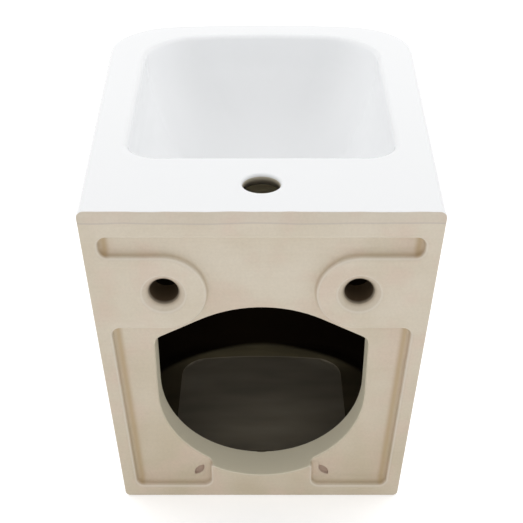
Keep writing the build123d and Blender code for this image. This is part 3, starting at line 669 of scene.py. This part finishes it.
def moulded_material(name, colour, roughness, grain_mm):
    """Moulded rubber or plastic with a fine matt grain."""
    material, tree, shader, place = new_material(name)
    grain = add_node(tree, "ShaderNodeTexNoise", {
        "Vector": place, "Scale": per_metre(grain_mm), "Detail": 3.0})
    tone = add_node(tree, "ShaderNodeMapRange", {
        "Value": grain, "To Min": MOULDED_DARK, "To Max": MOULDED_PALE})
    tint = add_node(tree, "ShaderNodeHueSaturation", {"Color": colour, "Value": tone})
    tree.links.new(tint.outputs["Color"], shader.inputs["Base Color"])
    shader.inputs["Roughness"].default_value = roughness
    bump = add_node(tree, "ShaderNodeBump", {
        "Height": grain, "Strength": MOULDED_BUMP, "Distance": MOULDED_BUMP_HEIGHT})
    tree.links.new(bump.outputs["Normal"], shader.inputs["Normal"])
    return material


def past_the_glaze(point, normal):
    """Whether a spot lies beyond where the glaze ends: the back face, or down one of the holes."""
    from_drain = math.hypot(point.x - DRAIN.x, point.y - DRAIN.y)
    from_tap = math.hypot(point.x - TAP.x, point.y - TAP.y)
    from_overflow = math.hypot(point.x, point.z - OVERFLOW_HEIGHT)
    on_back = normal.y < WALLWARD and point.y < BACK_SKIN
    in_drain = (from_drain < FLANGE_RADIUS + HOLE_MARGIN
                and FLANGE_LOW.z < point.z < FLANGE_HIGH.z - FLANGE_SEAT)
    in_tap = (from_tap < TAP_RADIUS + HOLE_MARGIN
              and SLIP_TOP < point.z < CERAMIC_HIGH.z - GLAZE_IN_HOLES)
    in_overflow = from_overflow < OVERFLOW_RADIUS and point.y < DECK_DEPTH
    return on_back or in_drain or in_tap or in_overflow


def mark_surfaces(mesh):
    """Stores on each face whether it is glazed, on the bare back or inside the hollow."""
    shape = bmesh.new()
    shape.from_mesh(mesh)
    kinds = shape.faces.layers.float.new("surface_kind")
    for face in shape.faces:
        centre = face.calc_center_median()
        face[kinds] = BACK if centre.y < LIP_DEPTH or centre.z > SLIP_TOP else HOLLOW

    # The glaze spreads from the rim over every face that it can reach
    spreading = [max(shape.faces, key=lambda face: face.calc_center_median().z + face.normal.z)]
    while spreading:
        for edge in spreading.pop().edges:
            for face in edge.link_faces:
                if face[kinds] != GLAZED and not past_the_glaze(face.calc_center_median(), face.normal):
                    face[kinds] = GLAZED
                    spreading.append(face)
    for face in shape.faces:
        face.material_index = HOLLOW_SLOT if face[kinds] == HOLLOW else CERAMIC_SLOT
    shape.to_mesh(mesh)
    shape.free()


class BIDET_OT_ceramic(Operator):
    """Glazes the ceramic and leaves its back and hollow bare"""

    bl_idname = "bidet.ceramic"
    bl_label = "Ceramic"

    def execute(self, context):
        settings = context.scene.bidet_ceramic
        piece = smooth_copy("ceramic_body")
        mark_surfaces(piece.data)
        piece.data.materials.append(ceramic_material(settings))
        piece.data.materials.append(slip_material(settings))
        return {"FINISHED"}


class BIDET_OT_metal(Operator):
    """Plates the waste and its plug, and turns the nuts, stem and spring in bare metal"""

    bl_idname = "bidet.metal"
    bl_label = "Metal pieces"

    def execute(self, context):
        colours = context.scene.bidet_waste
        # Chrome plate is a bright mirror with faint wipe smears
        chrome = metal_material("chrome_plate", colours.chrome, roughness=0.08, smear_mm=9)
        # Turned brass is yellow and satin from the tool, whose marks are drawn coarser so that they show
        brass = metal_material("turned_brass", colours.brass, roughness=0.28, smear_mm=2)
        # Stainless spring wire is grey and satin, with die marks that are drawn coarser so that they show
        steel = metal_material("stainless_spring_wire", colours.steel, roughness=0.3, smear_mm=1)
        finishes = {"waste_body": chrome, "plug_cap": chrome, "back_nut": brass, "plug_stem": brass,
                    "stem_nut": brass, "return_spring": steel}
        for node, material in finishes.items():
            piece = smooth_copy(node)
            piece.data.materials.append(material)
            if node == "return_spring":
                self.squeeze(piece)
        return {"FINISHED"}

    def squeeze(self, spring):
        """Gives the spring a mesh of its own."""
        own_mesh(spring)


class BIDET_OT_rubber(Operator):
    """Gives the seals their black rubber"""

    bl_idname = "bidet.rubber"
    bl_label = "Seals"

    def execute(self, context):
        # Moulded rubber is black and dull. Its grain is drawn coarser than it is, so that it shows.
        rubber = moulded_material("moulded_epdm", context.scene.bidet_waste.rubber,
                                  roughness=0.6, grain_mm=0.5)
        for node in ("flange_seal", "cone_seal", "plug_seal"):
            smooth_copy(node).data.materials.append(rubber)
        return {"FINISHED"}


class BIDET_OT_plastic(Operator):
    """Gives the push-open latch and the slip washer their plastics"""

    bl_idname = "bidet.plastic"
    bl_label = "Plastic pieces"

    def execute(self, context):
        colours = context.scene.bidet_waste
        # Moulded acetal is white and waxy. Its grain is drawn coarser than it is, so that it shows.
        white = moulded_material("moulded_acetal", colours.white_plastic, roughness=0.4, grain_mm=0.8)
        # Glass-filled nylon is grey, with short fibres that dull its skin, drawn coarser so that they show
        grey = moulded_material("glass_filled_nylon", colours.grey_plastic, roughness=0.5, grain_mm=0.4)
        finishes = {"slip_washer": white, "cartridge_barrel": white, "cartridge_cap": white,
                    "latch_rotor": grey}
        for node, material in finishes.items():
            smooth_copy(node).data.materials.append(material)
        return {"FINISHED"}


class BIDET_OT_stage(Operator):
    """Lays the floor and sets the light and the camera"""

    bl_idname = "bidet.stage"
    bl_label = "Stage"

    def execute(self, context):
        settings = context.scene.bidet_studio
        scene = context.scene
        scene.view_settings.view_transform = "Standard"
        self.lay_floor(scene, settings)
        self.light(scene, settings)
        self.aim_camera(scene, settings)
        return {"FINISHED"}

    def lay_floor(self, scene, settings):
        """A wide sheet of paper level with the ceramic's base."""
        mesh = bpy.data.meshes.new("floor")
        shape = bmesh.new()
        bmesh.ops.create_grid(shape, x_segments=1, y_segments=1, size=FLOOR_HALF_WIDTH)
        bmesh.ops.translate(shape, verts=shape.verts, vec=(0, 0, CERAMIC_LOW.z))
        shape.to_mesh(mesh)
        shape.free()
        floor = bpy.data.objects.new("floor", mesh)
        scene.collection.objects.link(floor)
        mesh.materials.append(self.paper(settings))

    def paper(self, settings):
        """Matt white paper that looks white to the camera and still takes the object's shadow."""
        material, tree, shader, _ = new_material("white_paper")
        shader.inputs["Base Color"].default_value = settings.floor
        shader.inputs["Roughness"].default_value = PAPER_ROUGHNESS
        shader.inputs["Specular IOR Level"].default_value = 0.0
        shader.inputs["Emission Color"].default_value = WHITE
        glow = add_node(tree, "ShaderNodeMapRange", {"Value": self.seen(tree), "To Max": settings.floor_glow})
        tree.links.new(glow.outputs["Result"], shader.inputs["Emission Strength"])
        return material

    def seen(self, tree):
        """One where the camera looks, straight or in a mirror or through glass, and zero elsewhere."""
        rays = add_node(tree, "ShaderNodeLightPath").outputs
        seen = add_node(tree, "ShaderNodeMath", {0: rays["Is Camera Ray"], 1: rays["Is Glossy Ray"]},
                        operation="MAXIMUM")
        return add_node(tree, "ShaderNodeMath", {0: seen, 1: rays["Is Transmission Ray"]},
                        operation="MAXIMUM")

    def light(self, scene, settings):
        """An even white sky and four large lamps, of which only the one overhead shows in the gloss."""
        world = bpy.data.worlds.new("studio")
        scene.world = world
        world.use_nodes = True
        tree = world.node_tree
        tree.nodes.clear()
        strength = add_node(tree, "ShaderNodeMapRange", {"Value": self.seen(tree), "To Min": settings.sky})
        sky = add_node(tree, "ShaderNodeBackground", {"Strength": strength, "Color": WHITE})
        add_node(tree, "ShaderNodeOutputWorld", {"Surface": sky})
        self.hang_lamp(scene, "overhead", settings.key, OVERHEAD_LAMP)
        self.hang_lamp(scene, "left", settings.sides, LEFT_LAMP).visible_glossy = False
        self.hang_lamp(scene, "right", settings.sides, RIGHT_LAMP).visible_glossy = False
        self.hang_lamp(scene, "front", settings.front, FRONT_LAMP).visible_glossy = False

    def hang_lamp(self, scene, name, power, place):
        """A large lamp that faces the bidet."""
        lamp = bpy.data.lights.new(name, "AREA")
        lamp.shape = "RECTANGLE"
        lamp.size = LAMP_LENGTH
        lamp.size_y = LAMP_WIDTH
        lamp.energy = power
        hung = bpy.data.objects.new(name, lamp)
        hung.location = place
        hung.rotation_euler = (LAMP_AIM - hung.location).to_track_quat("-Z", "Y").to_euler()
        scene.collection.objects.link(hung)
        return hung

    def aim_camera(self, scene, settings):
        """The photo's camera: behind the wall plane, over the fixing holes and looking down."""
        lens = bpy.data.cameras.new("camera")
        lens.sensor_width = SENSOR_WIDTH
        lens.lens = FOCAL_LENGTH
        camera = bpy.data.objects.new("camera", lens)
        camera.location = (0, -settings.camera_back, settings.camera_up)
        camera.rotation_euler = (math.pi / 2 - settings.camera_pitch, 0, 0)
        scene.collection.objects.link(camera)
        scene.camera = camera


OPERATORS = (BIDET_OT_ceramic, BIDET_OT_metal, BIDET_OT_rubber, BIDET_OT_plastic, BIDET_OT_stage)
SETTINGS = {"bidet_ceramic": CeramicSettings, "bidet_waste": WasteSettings, "bidet_studio": StudioSettings}


class BIDET_PT_sidebar(Panel):
    """Buttons and settings of the bidet"""

    bl_idname = "BIDET_PT_sidebar"
    bl_label = "Bidet"
    bl_space_type = "VIEW_3D"
    bl_region_type = "UI"
    bl_category = "Bidet"

    def draw(self, context):
        for operator in OPERATORS:
            self.layout.operator(operator.bl_idname)
        for name, group in SETTINGS.items():
            box = self.layout.box()
            for setting in group.__annotations__:
                box.prop(getattr(context.scene, name), setting)


def register():
    for group in SETTINGS.values():
        bpy.utils.register_class(group)
    for name, group in SETTINGS.items():
        setattr(bpy.types.Scene, name, PointerProperty(type=group))
    for cls in (*OPERATORS, BIDET_PT_sidebar):
        bpy.utils.register_class(cls)


def unregister():
    for cls in reversed((*OPERATORS, BIDET_PT_sidebar)):
        bpy.utils.unregister_class(cls)
    for name, group in SETTINGS.items():
        delattr(bpy.types.Scene, name)
        bpy.utils.unregister_class(group)


def main():
    register()
    bpy.ops.bidet.ceramic()
    bpy.ops.bidet.metal()
    bpy.ops.bidet.rubber()
    bpy.ops.bidet.plastic()
    bpy.ops.bidet.stage()


if __name__ == "__main__":
    main()
